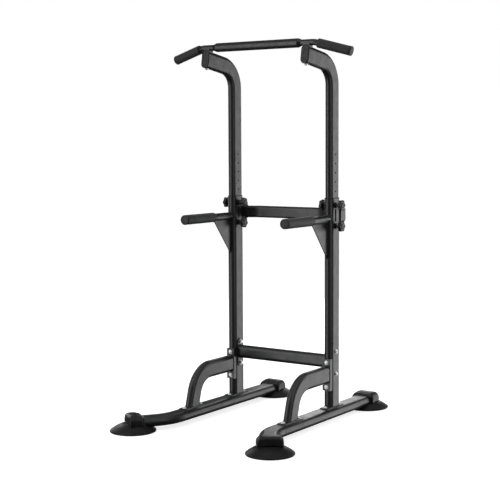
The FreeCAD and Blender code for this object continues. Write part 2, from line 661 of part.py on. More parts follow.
# ---------------------------------------------------------------- upper frame
MAST_FRAME = Rotation(Vector(0, -1, 0), Vector(0, 0, 1), Vector(-1, 0, 0), "XYZ")
MAST_PLACE = spot(SIDE, 0, size("mast_foot"), MAST_FRAME)
MAST_HOLES = [size("pin_height") - index * size("hole_pitch") for index in range(size("lower_holes") + 1)]
MAST_HOLES += [size("row_height") + index * size("hole_pitch") for index in range(size("row_holes"))]
ARM_RADIUS = size("mast_depth") / 2


def neck_frame(distance):
    """The frame on the gooseneck's straight end: +Y along the tube, +X to its underside."""
    return along_bend(size("mast_run"), size("mast_bend"), size("mast_turn"), distance, MAST_PLACE)


SADDLE_FRAME = neck_frame(size("mast_reach") - size("bar_setback"))
BAR_HEIGHT = ARM_RADIUS + size("bar_neck") + size("bar_lift")
BAR_CENTRE = SADDLE_FRAME.multVec(Vector(-BAR_HEIGHT, 0, 0))
NECK_UP = SADDLE_FRAME.multiply(Placement(Vector(), Rotation(Vector(0, 1, 0), -90)))


def gooseneck():
    """The telescoping mast and its forward-bent head, one tube."""
    tube = bent_tube("gooseneck_tube", "mast_depth", "mast_breadth", "mast_wall",
                     ("mast_run", "mast_bend", "mast_turn", "mast_reach"), MAST_PLACE)
    holes = [cross_bore(f"mast_hole_{index}", "hole_radius", z) for index, z in enumerate(MAST_HOLES)]
    holes.append(bolt_hole("neck_bolt_hole", "neck_hole_run", NECK_UP))
    pair(cut("gooseneck", tube, *holes), "gooseneck")

    end = neck_frame(size("mast_reach")).multiply(Placement(Vector(), ALONG_Y))
    cap = oval_prism("neck_cap_plate", "mast_depth + 2 * neck_cap_lip", "mast_breadth + 2 * neck_cap_lip",
                     "neck_cap_thick", end)
    less = "2 * mast_wall - 2 * plug_play"
    plug = oval_prism("neck_cap_plug", f"mast_depth - {less}", f"mast_breadth - {less}",
                      "neck_plug + join_depth", end.multiply(at(z=-size("neck_plug"))))
    both(fuse("neck_cap", cap, plug), "gooseneck_caps")


def bar_saddle():
    """The cradle between each gooseneck and the bar, and the bolt that holds it down."""
    corner = at(-size("saddle_breadth") / 2, -size("saddle_length") / 2, ARM_RADIUS - size("saddle_drop"))
    block = box("saddle_block", "saddle_breadth", "saddle_length", "saddle_height", NECK_UP.multiply(corner))
    neck_place = SADDLE_FRAME.multiply(Placement(Vector(0, -THROUGH / 2, 0), ALONG_Y))
    neck = oval_prism("saddle_neck", "mast_depth", "mast_breadth", "through_length", neck_place)
    rod = cylinder("saddle_rod", "bar_neck", "through_length", Placement(
        Vector(SIDE - THROUGH / 2, BAR_CENTRE.y, BAR_CENTRE.z), ALONG_X))
    hole = bolt_hole("saddle_hole", "neck_hole_run", NECK_UP)
    both(cut("bar_saddle", block, neck, rod, hole), "bar_saddles")

    seat = Placement(Vector(0, 0, -ARM_RADIUS - size("saddle_bolt_gap")), Rotation(Vector(1, 0, 0), 180))
    length = 2 * ARM_RADIUS + size("bar_lift") - size("saddle_bolt_short")
    both(dome_bolt("saddle_bolt", length, NECK_UP.multiply(seat)), "saddle_bolts")


def pullup_bar():
    """The bar, its bent-down outer arms, and their foam grips and end caps."""
    height, depth = BAR_CENTRE.z, BAR_CENTRE.y
    joint, straight = size("bar_joint"), size("bar_straight")

    def rod(name, radius, length, x):
        return cylinder(name, radius, length, Placement(Vector(x, depth, height), ALONG_X))

    middle = rod("bar_middle", "bar_radius", "2 * bar_straight", -straight)
    necks = rod("bar_necks", "bar_neck", "2 * bar_joint", -joint)
    tapers = []
    for side in (-1, 1):
        place = Placement(Vector(side * straight, depth, height), facing((side, 0, 0)))
        tapers.append(add("Part::Cone", f"bar_taper_{side + 1}", place, Radius1="bar_radius",
                          Radius2="bar_neck", Height="bar_taper"))
    bores = [rod("bar_bore", "bar_radius - bar_wall", "2 * (bar_straight - bar_shoulder)",
                 size("bar_shoulder") - straight),
             rod("bar_neck_bore", "bar_neck - bar_wall", "2 * bar_joint", -joint)]
    node(cut("pullup_bar", fuse("bar_body", middle, necks, *tapers), *bores), "pullup_bar")

    sweep_angle = math.radians(size("arm_sweep"))
    inward = Vector(0, math.sin(sweep_angle), -math.cos(sweep_angle))
    onward = Vector(1, 0, 0)
    frame = Rotation(inward, onward, inward.cross(onward), "XYZ")
    place = Placement(Vector(joint, depth, height), frame)
    arm = bent_tube("bar_arm_tube", "2 * bar_neck", "2 * bar_neck", "bar_wall",
                    ("arm_run", "arm_bend", "arm_turn", "arm_reach"), place)
    pair(arm, "bar_arm")

    def on_arm(distance):
        spot_on_path = along_bend(size("arm_run"), size("arm_bend"), size("arm_turn"), distance, place)
        return spot_on_path.multiply(Placement(Vector(), ALONG_Y))

    grip_length = "arm_reach - arm_grip_start"
    foam = cylinder("arm_foam", "arm_grip_radius", grip_length, on_arm(size("arm_grip_start")))
    way = cylinder("arm_foam_way", "bar_neck + grip_play", grip_length, on_arm(size("arm_grip_start")))
    pair(cut("arm_grip", foam, way), "bar_grip")
    both(end_cap("arm_cap", "arm_grip_radius + arm_cap_lip", "arm_cap_thick",
                 "bar_neck - bar_wall - grip_play", on_arm(size("arm_reach"))), "bar_end_caps")


# ---------------------------------------------------------------- bolts
def frame_bolts(flange_front, reach):
    def both_sides(name, pieces):
        both(group(name + "_half", *pieces), name)

    both_sides("foot_bolts", [dome_bolt(f"foot_bolt_{index}", size("foot_bolt_length"),
                                        spot(SIDE, y, PLATE_TOP))
                              for index, y in enumerate(FLOOR_BOLTS + ARCH_BOLTS)])
    both_sides("flange_bolts", [dome_bolt(f"flange_bolt_{index}", size("flange_bolt_length"),
                                          spot(SIDE, flange_front, z, FORWARD))
                                for index, z in enumerate(FLANGE_BOLTS)])
    both_sides("bracket_screws", [dome_bolt(f"bracket_screw_{index}", size("screw_length"), bracket_seat(z))
                                  for index, z in enumerate(BRACKET_SCREWS)])
    outer = SIDE + size("upright_breadth") / 2
    length = outer - reach + size("cross_bolt_spare")
    pieces = []
    for index, z in enumerate(CROSS_BOLTS):
        pieces.append(dome_bolt(f"cross_bolt_{index}", length, spot(outer, 0, z, ALONG_X)))
        pieces.append(hex_nut(f"cross_nut_{index}", spot(reach, 0, z, facing((-1, 0, 0)))))
    both_sides("crossbar_bolts", pieces)


# ---------------------------------------------------------------- knobs and locking pins
def star(name, place):
    """A hand knob with rounded lobes; the placement is at its inner face, +Z outwards."""
    step = size("knob_step")
    lobe_ring = size("knob_radius") - size("knob_lobe")
    hub = cylinder(name + "_hub", "knob_hub", "knob_thick", place)
    core = cylinder(name + "_core", "knob_radius - knob_lobe - knob_web", "knob_thick - knob_step",
                    place.multiply(at(z=step)))
    lobes = []
    for index in range(KNOB_LOBES):
        angle = 2 * math.pi * (index + 0.5) / KNOB_LOBES
        lobe_place = place.multiply(at(lobe_ring * math.cos(angle), lobe_ring * math.sin(angle), step))
        lobes.append(cylinder(f"{name}_lobe_{index}", "knob_lobe", "knob_thick - knob_step - knob_dish",
                              lobe_place))
    return fuse(name + "_star", hub, core, *lobes)


def knob_place(side, way, height, offset):
    """A frame on a knob's axis: an offset from the upright's centre plane, +Z away from the tube."""
    return spot(side * SIDE + way * offset, 0, height, facing((way, 0, 0)))


def knob_and_pin(where, side, way):
    """The upper knob and the lock pin that it drives into the mast."""
    height = KNOB_HEIGHTS[0]
    stand, shoulder = size("knob_stand"), size("tip_shoulder")
    shank = cylinder(f"pin_shank_{where}", "shank_radius",
                     "knob_stand + knob_thick - pin_cover - tip_shoulder",
                     knob_place(side, way, height, shoulder))
    nose = cylinder(f"pin_nose_{where}", "tip_radius", "tip_shoulder - tip_end + join_depth",
                    knob_place(side, way, height, size("tip_end")))
    node(fuse(f"pin_{where}", shank, nose), f"lock_pin_{where}")
    head = star(f"upper_{where}", knob_place(side, way, height, stand))
    socket = cylinder(f"socket_{where}", "shank_radius + pin_fit", "knob_thick - pin_cover + pin_gap",
                      knob_place(side, way, height, stand))
    node(cut(f"upper_knob_{where}", head, socket), f"upper_knob_{where}")


def clamp_knob(where, side, way):
    """The lower knob, one piece with its clamping screw."""
    height = KNOB_HEIGHTS[1]
    screw = cylinder(f"clamp_screw_{where}", "shank_radius", "knob_stand + clamp_root - clamp_end",
                     knob_place(side, way, height, size("clamp_end")))
    head = star(f"lower_{where}", knob_place(side, way, height, size("knob_stand")))
    node(fuse(f"lower_knob_{where}", head, screw), f"lower_knob_{where}")


def knobs():
    for side, name in ((-1, "left"), (1, "right")):
        for way in (-1, 1):
            where = f"{name}_outer" if way == side else f"{name}_inner"
            knob_and_pin(where, side, way)
            clamp_knob(where, side, way)


# ---------------------------------------------------------------- build
def feet(front_end):
    """Four feet; the rails end a set overlap past each dish's centre."""
    outward = front_end.Rotation.multVec(Vector(0, 1, 0))
    angle = math.degrees(math.atan2(-outward.x, outward.y))
    centre = front_end.Base - outward * size("rail_overlap")
    rear_y = size("rear_run") - size("seam_setback") + size("seam_gap") / 2 - size("rail_overlap")
    for side, name in ((1, "right"), (-1, "left")):
        place = Placement(Vector(side * centre.x, centre.y, 0), Rotation(Vector(0, 0, 1), side * angle))
        foot(f"front_{name}_foot", f"front_{name}", place)
        foot(f"rear_{name}_foot", f"rear_{name}", spot(side * SIDE, rear_y, 0))


front_end = front_rail()
rear_rail()
rail_sleeve()
feet(front_end)
arch_brace()
foot_plates()
flange_front = arch_flange()
lower_upright(flange_front)
guide_bush()
cross_reach = crossbar()
back_brace()
dip_handle()
dip_gusset()
gooseneck()
bar_saddle()
pullup_bar()
frame_bolts(flange_front, cross_reach)
knobs()
doc.recompute()

for thing in doc.Objects:
    if "Invalid" in thing.State or "Error" in thing.State:
        raise RuntimeError(f"{thing.Name} failed: {thing.State}")

os.makedirs("parts", exist_ok=True)
for thing in nodes:
    shape = thing.Shape
    if shape.isNull() or not shape.isValid():
        raise RuntimeError(f"{thing.Label} has no valid shape")
    shape.exportStep(f"parts/{thing.Label}.step")
print(len(nodes), "sub-parts written")
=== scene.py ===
"""Power tower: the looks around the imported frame. Metres, +Z up, -Y the front, +X the right side."""

import json
import math

import bmesh
import bpy
from mathutils import Matrix, Vector, noise


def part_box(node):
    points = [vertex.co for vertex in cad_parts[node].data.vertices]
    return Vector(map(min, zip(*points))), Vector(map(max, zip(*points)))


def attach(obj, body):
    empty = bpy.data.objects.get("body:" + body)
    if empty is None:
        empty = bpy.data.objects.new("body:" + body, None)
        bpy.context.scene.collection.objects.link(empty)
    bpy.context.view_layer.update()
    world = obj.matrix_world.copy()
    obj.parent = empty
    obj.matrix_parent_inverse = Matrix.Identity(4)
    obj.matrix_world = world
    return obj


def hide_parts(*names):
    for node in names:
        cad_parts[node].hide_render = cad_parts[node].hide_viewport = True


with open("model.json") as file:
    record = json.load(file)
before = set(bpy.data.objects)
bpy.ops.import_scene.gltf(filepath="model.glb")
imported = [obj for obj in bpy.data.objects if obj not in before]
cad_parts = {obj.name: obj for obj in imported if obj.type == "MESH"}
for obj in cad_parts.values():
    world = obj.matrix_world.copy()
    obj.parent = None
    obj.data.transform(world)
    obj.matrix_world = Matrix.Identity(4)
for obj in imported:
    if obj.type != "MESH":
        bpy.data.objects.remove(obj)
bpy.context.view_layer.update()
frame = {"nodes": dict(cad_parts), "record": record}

TAU = 2 * math.pi
BASE = "base"
TOP = "upper_frame"
SIDES = (("left", -1), ("right", 1))


# ---------------------------------------------------------------- node materials
def new_material(name, colour, roughness, metallic=0.0, **sockets):
    """A node material with uniform values on the shader's own sockets."""
    material = bpy.data.materials.new(name)
    material.use_nodes = True
    shader = material.node_tree.nodes["Principled BSDF"]
    shader.inputs["Base Color"].default_value = (*colour, 1)
    shader.inputs["Roughness"].default_value = roughness
    shader.inputs["Metallic"].default_value = metallic
    for socket, value in sockets.items():
        shader.inputs[socket.replace("_", " ")].default_value = value
    return material


def node_of(material, kind, **inputs):
    node = material.node_tree.nodes.new(kind)
    for name, value in inputs.items():
        node.inputs[name.replace("_", " ")].default_value = value
    return node


def wire(material, source, target):
    material.node_tree.links.new(source, target)


def object_point(material):
    return node_of(material, "ShaderNodeTexCoord").outputs["Object"]


def noise_value(material, scale, detail=3.0, roughness=0.5):
    node = node_of(material, "ShaderNodeTexNoise", Scale=scale, Detail=detail, Roughness=roughness)
    wire(material, object_point(material), node.inputs["Vector"])
    return node.outputs["Fac"]


def cell_value(material, scale):
    node = node_of(material, "ShaderNodeTexVoronoi", Scale=scale)
    wire(material, object_point(material), node.inputs["Vector"])
    return node.outputs["Distance"]


def ranged(material, value, low, high, start=0.3, end=0.7):
    """A value between low and high as the source goes from start to end."""
    node = node_of(material, "ShaderNodeMapRange")
    for name, number in (("From Min", start), ("From Max", end), ("To Min", low), ("To Max", high)):
        node.inputs[name].default_value = number
    wire(material, value, node.inputs["Value"])
    return node.outputs["Result"]


def colour_mix(material, factor, first, second):
    """Two colours mixed by a factor; either may be a colour or another mix's output."""
    node = material.node_tree.nodes.new("ShaderNodeMix")
    node.data_type = "RGBA"
    wire(material, factor, node.inputs["Factor"])
    for socket, colour in ((node.inputs[6], first), (node.inputs[7], second)):
        if isinstance(colour, tuple):
            socket.default_value = (*colour, 1)
        else:
            wire(material, colour, socket)
    return node.outputs[2]


def edge_mask(material, radius):
    """0 on smooth surfaces and towards 1 on edges sharper than the radius."""
    bevel = node_of(material, "ShaderNodeBevel", Radius=radius)
    bevel.samples = 4
    geometry = node_of(material, "ShaderNodeNewGeometry")
    dot = material.node_tree.nodes.new("ShaderNodeVectorMath")
    dot.operation = "DOT_PRODUCT"
    wire(material, bevel.outputs["Normal"], dot.inputs[0])
    wire(material, geometry.outputs["Normal"], dot.inputs[1])
    return ranged(material, dot.outputs["Value"], 1.0, 0.0, 0.72, 0.97)


def shade(material, colour=None, roughness=None, heights=()):
    """Link a colour, a roughness and bumps of (height, distance, strength) to the shader."""
    shader = material.node_tree.nodes["Principled BSDF"]
    if colour is not None:
        wire(material, colour, shader.inputs["Base Color"])
    if roughness is not None:
        wire(material, roughness, shader.inputs["Roughness"])
    normal = None
    for height, distance, strength in heights:
        bump = node_of(material, "ShaderNodeBump", Distance=distance, Strength=strength)
        wire(material, height, bump.inputs["Height"])
        if normal is not None:
            wire(material, normal, bump.inputs["Normal"])
        normal = bump.outputs["Normal"]
    if normal is not None:
        wire(material, normal, shader.inputs["Normal"])
    return material


def powder_coat():
    """Satin charcoal powder coat: orange peel, faint mottling and lighter edges, partly rubbed paint and
    partly a painted edge highlight.
    """
    material = new_material("powder_coat", (0.014, 0.0145, 0.0155), 0.34)
    mottle = ranged(material, noise_value(material, 7.0), 0.0, 1.0)
    colour = colour_mix(material, mottle, (0.012, 0.0125, 0.0135), (0.016, 0.0165, 0.0175))
    # lighter on sharp edges: partly rubbed paint, partly a painted edge highlight
    colour = colour_mix(material, edge_mask(material, 0.0012), colour, (0.034, 0.035, 0.037))
    roughness = ranged(material, noise_value(material, 26.0), 0.31, 0.40)
    peel = noise_value(material, 620.0, 2.0)
    grit = noise_value(material, 2100.0, 2.0)
    return shade(material, colour, roughness, ((peel, 0.00012, 0.35), (grit, 0.00004, 0.25)))


def weld_paint():
    """The same charcoal on a weld bead: rougher and more mottled."""
    material = new_material("weld_paint", (0.016, 0.0165, 0.0175), 0.38)
    mottle = ranged(material, noise_value(material, 160.0), 0.0, 1.0)
    colour = colour_mix(material, mottle, (0.012, 0.0125, 0.0135), (0.022, 0.023, 0.024))
    roughness = ranged(material, noise_value(material, 90.0), 0.32, 0.50)
    return shade(material, colour, roughness, ((noise_value(material, 800.0), 0.00015, 0.5),))


def grip_foam():
    """Closed-cell foam: fine pores with painted shade in them, soft dimples and a dusty sheen."""
    material = new_material("grip_foam", (0.016, 0.0165, 0.018), 0.62, Sheen_Weight=0.10,
                            Sheen_Roughness=0.55)
    mottle = ranged(material, noise_value(material, 45.0, 4.0), 0.0, 1.0)
    colour = colour_mix(material, mottle, (0.013, 0.0135, 0.015), (0.021, 0.0215, 0.023))
    pores = cell_value(material, 950.0)
    # painted shade: the pores' pits are coloured darker, where shade falls in them
    painted_pore_shade = ranged(material, pores, 0.55, 0.0, 0.0, 0.35)
    colour = colour_mix(material, painted_pore_shade, colour, (0.006, 0.006, 0.0065))
    roughness = ranged(material, noise_value(material, 210.0), 0.55, 0.70)
    dimples = noise_value(material, 130.0, 3.0)
    return shade(material, colour, roughness, ((dimples, 0.0006, 0.35), (pores, 0.0003, 0.45)))


def foot_rubber():
    """Moulded rubber: satin, a little dust and fine grain."""
    material = new_material("foot_rubber", (0.007, 0.007, 0.0075), 0.42, Specular_IOR_Level=0.22)
    dust = ranged(material, noise_value(material, 18.0, 5.0, 0.6), 0.0, 0.55, 0.45, 0.8)
    colour = colour_mix(material, dust, (0.006, 0.006, 0.0065), (0.015, 0.015, 0.015))
    colour = colour_mix(material, edge_mask(material, 0.0016), colour, (0.016, 0.016, 0.0165))
    roughness = ranged(material, noise_value(material, 30.0, 4.0), 0.34, 0.54)
    grain = noise_value(material, 900.0, 3.0)
    ripple = noise_value(material, 60.0, 2.0)
    return shade(material, colour, roughness, ((ripple, 0.0004, 0.25), (grain, 0.00008, 0.35)))


def moulded_plastic(name, dark, light, low, high, gloss=0.5):
    """Grained black plastic with a worn edge."""
    material = new_material(name, dark, low, Specular_IOR_Level=gloss)
    mottle = ranged(material, noise_value(material, 30.0, 4.0), 0.0, 1.0)
    colour = colour_mix(material, mottle, dark, light)
    rubbed = tuple(2.2 * channel for channel in light)
    colour = colour_mix(material, edge_mask(material, 0.0008), colour, rubbed)
    roughness = ranged(material, noise_value(material, 55.0), low, high)
    grain = cell_value(material, 1500.0)
    return shade(material, colour, roughness, ((grain, 0.00007, 0.4),))


def plated(name, dark, light, low, high):
    """Plated steel: cloudy plating, fine scratches and handling marks."""
    material = new_material(name, light, low, metallic=1.0)
    cloud = ranged(material, noise_value(material, 240.0, 4.0), 0.0, 1.0)
    colour = colour_mix(material, cloud, dark, light)
    roughness = ranged(material, noise_value(material, 420.0, 3.0), low, high)
    return shade(material, colour, roughness, ((noise_value(material, 1900.0, 3.0), 0.00003, 0.3),))


PAINT = powder_coat()
WELD = weld_paint()
FOAM = grip_foam()
RUBBER = foot_rubber()
HOOD = moulded_plastic("foot_hood", (0.006, 0.006, 0.0065), (0.010, 0.010, 0.0105), 0.33, 0.45, gloss=0.30)
PLASTIC = moulded_plastic("cap_plastic", (0.010, 0.010, 0.011), (0.015, 0.015, 0.016), 0.38, 0.52, gloss=0.34)
KNOB = moulded_plastic("knob_plastic", (0.011, 0.0115, 0.0125), (0.017, 0.0175, 0.0185), 0.38, 0.52)
ZINC = plated("bright_zinc", (0.66, 0.68, 0.70), (0.88, 0.89, 0.90), 0.30, 0.46)
STEEL = plated("bare_steel", (0.42, 0.42, 0.43), (0.60, 0.60, 0.61), 0.28, 0.42)
SLOT_LOOKS = {"frame_paint": PAINT, "bare_steel": STEEL, "bolt_zinc": ZINC, "foot_rubber": RUBBER,
              "foot_hood": HOOD, "grip_foam": FOAM, "black_plastic": PLASTIC, "knob_plastic": KNOB}


# ---------------------------------------------------------------- mesh making
def finish_mesh(name, mesh, material, body, crease=38):
    """A visible piece of a mesh, riding a body, smooth but for edges past the crease angle."""
    mesh.materials.clear()
    mesh.materials.append(material)
    mesh.shade_smooth()
    mesh.set_sharp_from_angle(angle=math.radians(crease))
    piece = bpy.data.objects.new(name, mesh)
    bpy.context.scene.collection.objects.link(piece)
    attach(piece, body)
    return piece


def loft_mesh(name, rings, cyclic=False):
    """Quads between closed rings of 3-D points; unless cyclic, the first and last ring are closed."""
    mesh = bpy.data.meshes.new(name)
    count = len(rings[0])
    points = [point for ring in rings for point in ring]
    faces = []
    spans = len(rings) if cyclic else len(rings) - 1
    for level in range(spans):
        low, high = level * count, ((level + 1) % len(rings)) * count
        for index in range(count):
            after = (index + 1) % count
            faces.append((low + index, low + after, high + after, high + index))
    if not cyclic:
        faces.append(tuple(reversed(range(count))))
        faces.append(tuple(range(len(points) - count, len(points))))
    mesh.from_pydata(points, [], faces)
    bm = bmesh.new()
    bm.from_mesh(mesh)
    bmesh.ops.recalc_face_normals(bm, faces=bm.faces)
    bm.to_mesh(mesh)
    bm.free()
    return mesh


def circle(radius, count=72):
    return [(radius * math.cos(TAU * i / count), radius * math.sin(TAU * i / count)) for i in range(count)]


def oval(length, breadth, count=72):
    """A flat oval, its long side along X."""
    nose, centre = breadth / 2, (length - breadth) / 2
    points = []
    for i in range(count):
        angle = -math.pi / 2 + TAU * i / (count - 2)
        end = 1 if i < count // 2 else -1
        if end < 0:
            angle = -math.pi / 2 + TAU * (i - 1) / (count - 2)
        points.append((end * centre + nose * math.cos(angle), nose * math.sin(angle)))
    return points


def hexagon(radius, count=72):
    """A hexagon of that corner radius, as radial points."""
    points = []
    for i in range(count):
        angle = TAU * i / count
        local = (angle + math.pi / 6) % (math.pi / 3) - math.pi / 6
        reach = radius * math.cos(math.pi / 6) / math.cos(local)
        points.append((reach * math.cos(angle), reach * math.sin(angle)))
    return points


def lobed(radius, inset, lobes=6, count=144):
    """A star knob's outline: round lobes with scooped gaps."""
    points = []
    for i in range(count):
        angle = TAU * i / count
        wave = 0.5 + 0.5 * math.cos(lobes * angle + math.pi)
        reach = radius * (0.80 + 0.20 * wave ** 0.62) - inset
        points.append((reach * math.cos(angle), reach * math.sin(angle)))
    return points


def rounded(corners, steps=5):
    """A profile of (reach, height, radius) corners, each corner rounded with an arc."""
    profile = []
    for index, (x, z, radius) in enumerate(corners):
        if radius == 0 or index in (0, len(corners) - 1):
            profile.append((x, z))
            continue
        here = Vector((x, z))
        back = Vector(corners[index - 1][:2]) - here
        ahead = Vector(corners[index + 1][:2]) - here
        half = back.angle(ahead) / 2
        run = min(radius / math.tan(half), 0.49 * back.length, 0.49 * ahead.length)
        radius = run * math.tan(half)
        centre = here + (back.normalized() + ahead.normalized()).normalized() * (radius / math.sin(half))
        first = here + back.normalized() * run - centre
        last = here + ahead.normalized() * run - centre
        for step in range(steps + 1):
            spoke = first.lerp(last, step / steps)
            point = centre + spoke.normalized() * radius
            profile.append((point.x, point.y))
    return profile


def turned(profile, outline=circle):
    """Rings of an outline, one for each (reach, height) of a profile."""
    return [[(x, y, height) for x, y in outline(reach)] for reach, height in profile]


def placed(rings, place):
    return [[place @ Vector(point) for point in ring] for ring in rings]


def along(direction, origin):
    """A matrix whose +Z is a direction."""
    rotation = Vector(direction).to_track_quat("Z", "Y").to_matrix().to_4x4()
    return Matrix.Translation(origin) @ rotation


def middle(node):
    low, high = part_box(node)
    return (low + high) / 2


def islands(node):
    """The middle, lowest and highest corner of each separate solid of a CAD node."""
    bm = bmesh.new()
    bm.from_mesh(frame["nodes"][node].data)
    bmesh.ops.remove_doubles(bm, verts=bm.verts, dist=1e-6)
    seen, found = set(), []
    for start in bm.verts:
        if start.index in seen:
            continue
        stack, members = [start], []
        seen.add(start.index)
        while stack:
            vertex = stack.pop()
            members.append(vertex.co.copy())
            for edge in vertex.link_edges:
                other = edge.other_vert(vertex)
                if other.index not in seen:
                    seen.add(other.index)
                    stack.append(other)
        low = Vector([min(point[axis] for point in members) for axis in range(3)])
        high = Vector([max(point[axis] for point in members) for axis in range(3)])
        found.append(((low + high) / 2, low, high))
    bm.free()
    return found


def carved(piece_mesh, *tool_meshes):
    """A mesh with tool meshes taken away from it."""
    body = bpy.data.objects.new("carve_body", piece_mesh)
    bpy.context.scene.collection.objects.link(body)
    tools = []
    for mesh in tool_meshes:
        tool = bpy.data.objects.new("carve_tool", mesh)
        bpy.context.scene.collection.objects.link(tool)
        tools.append(tool)
        modifier = body.modifiers.new("cut", "BOOLEAN")
        modifier.operation = "DIFFERENCE"
        modifier.solver = "EXACT"
        modifier.object = tool
    bpy.context.view_layer.update()
    evaluated = body.evaluated_get(bpy.context.evaluated_depsgraph_get())
    result = bpy.data.meshes.new_from_object(evaluated)
    for thing in [body, *tools]:
        bpy.data.objects.remove(thing)
    return result


def softened(piece, width, angle=35, segments=2):
    modifier = piece.modifiers.new("soft_edges", "BEVEL")
    modifier.width = width
    modifier.segments = segments
    modifier.limit_method = "ANGLE"
    modifier.angle_limit = math.radians(angle)


def block_mesh(name, low, high, place=Matrix()):
    """A plain box, only used as a cutting tool."""
    rings = [[(low[0], low[1], z), (high[0], low[1], z), (high[0], high[1], z), (low[0], high[1], z)]
             for z in (low[2], high[2])]
    return loft_mesh(name, placed(rings, place))


# ---------------------------------------------------------------- feet
RAIL_AXIS, RAIL_LONG, RAIL_SHORT = 0.0435, 0.0963, 0.0483
RAIL_PAST, WAY_BACK, ABOVE_FOOT = 0.0242, 0.15, 0.1
SPLAY = math.radians(36)
SKIRT_HALF, HOOD_GAP, HOOD_EDGE = 0.0545, 0.0016, 0.0009
DISH_FACETS = 96


def rail_tool(name, place):
    """The tool that clears the rail's way through a dish or a hood, along the foot's +Y."""
    rings = []
    for y in (-WAY_BACK, RAIL_PAST):
        rings.append([place @ Vector((x, y, RAIL_AXIS + z)) for x, z in oval(RAIL_LONG, RAIL_SHORT)])
    return loft_mesh(name, rings)


def dish_ring(reach):
    return circle(reach, DISH_FACETS)


def foot_place(name, sign, front):
    centre = middle("dish_" + name)
    turn = Matrix.Rotation(math.pi + sign * SPLAY, 4, "Z") if front else Matrix()
    return Matrix.Translation((centre.x, centre.y, 0)) @ turn


def dish(name, place):
    """A suction dish: thick rounded rim, slightly domed cone with a shallow step, hollow below."""
    profile = rounded([
        (0.004, 0.0102, 0), (0.058, 0.0102, 0.004), (0.096, 0.0006, 0.004), (0.1005, 0.0004, 0.0006),
        (0.1118, 0.0006, 0.0022), (0.1130, 0.0062, 0.0030), (0.1085, 0.0104, 0.0030),
        (0.1040, 0.0128, 0.0012), (0.1015, 0.0152, 0.0012), (0.0800, 0.0283, 0.0500),
        (0.0540, 0.0392, 0.0140), (0.0400, 0.0410, 0.0040), (0.004, 0.0410, 0)])
    mesh = loft_mesh("dish", placed(turned(profile, dish_ring), place))
    above = block_mesh("above", (-RAIL_LONG / 2, -WAY_BACK, RAIL_AXIS),
                       (RAIL_LONG / 2, RAIL_PAST, ABOVE_FOOT), place)
    mesh = carved(mesh, rail_tool("rail_way", place), above)
    piece = finish_mesh("dish_" + name + "_rubber", mesh, RUBBER, BASE, 30)
    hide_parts("dish_" + name)


def hood_section(half, top, corner, low=0.020, steps=14):
    """The hood's arch-shaped outline: straight legs, round shoulders and a flat top."""
    points = [(-half, low)]
    for centre_x, start in ((-half + corner, math.pi), (half - corner, math.pi / 2)):
        for step in range(steps + 1):
            angle = start - math.pi / 2 * step / steps
            points.append((centre_x + corner * math.cos(angle), top - corner + corner * math.sin(angle)))
    points.append((half, low))
    return points


def hood(name, place):
    """The moulded hood: raised rim at the mouth, ramped top, round shoulders, arched over the dish."""
    # distance along the foot, half width, top height, shoulder radius
    stations = [
        (-0.0440, 0.0585, 0.0715, 0.0235), (-0.0432, 0.0612, 0.0742, 0.0250),
        (-0.0418, 0.0625, 0.0755, 0.0260), (-0.0330, 0.0630, 0.0790, 0.0265),
        (-0.0314, 0.0618, 0.0788, 0.0262), (-0.0300, 0.0606, 0.0794, 0.0256),
        (-0.0200, 0.0606, 0.0826, 0.0262), (-0.0120, 0.0608, 0.0838, 0.0268),
        (0.0050, 0.0612, 0.0840, 0.0270), (0.0150, 0.0614, 0.0834, 0.0270),
        (0.0215, 0.0612, 0.0818, 0.0268), (0.0256, 0.0602, 0.0790, 0.0262),
        (0.0278, 0.0584, 0.0758, 0.0256), (0.0288, 0.0560, 0.0722, 0.0250)]
    rings = [[(x, y, z) for x, z in hood_section(half, top, corner)] for y, half, top, corner in stations]
    mesh = loft_mesh("hood", placed(rings, place))
    # reach and height just clear of the dish below
    clear = [(0.118, -0.01), (0.118, 0.0100), (0.1130, 0.0106), (0.0800, 0.0290), (0.0540, 0.0404),
             (0.0400, 0.0424), (0.002, 0.0424)]
    cone = turned([(reach, z + HOOD_GAP) for reach, z in clear], dish_ring)
    over_dish = loft_mesh("over_dish", placed(cone, place))
    skirt = block_mesh("skirt", (-SKIRT_HALF, -WAY_BACK, 0.0), (SKIRT_HALF, RAIL_PAST, RAIL_AXIS), place)
    mesh = carved(mesh, rail_tool("rail_way", place), skirt, over_dish)
    piece = finish_mesh("hood_" + name + "_shell", mesh, HOOD, BASE, 34)
    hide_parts("hood_" + name)
    softened(piece, HOOD_EDGE)


for side, sign in SIDES:
    for end in ("front", "rear"):
        label = f"{end}_{side}"
        spot = foot_place(label, sign, end == "front")
        dish(label, spot)
        hood(label, spot)


# ---------------------------------------------------------------- foam grips and end caps
FOAM_FACETS, FOAM_BANDS = 64, 44
FOAM_LIP = 0.0035
# share of the lip left off the radius, and distance from the sleeve's end
FOAM_ROLL = ((1.0, 0.0), (0.55, 0.0004), (0.2, 0.0013))
WAVE_ROUND, WAVE_ALONG, WAVE_SHIFT, WAVE_DEPTH = 60, 45, 20, 0.010


def foam_ring(reach):
    return circle(reach, FOAM_FACETS)


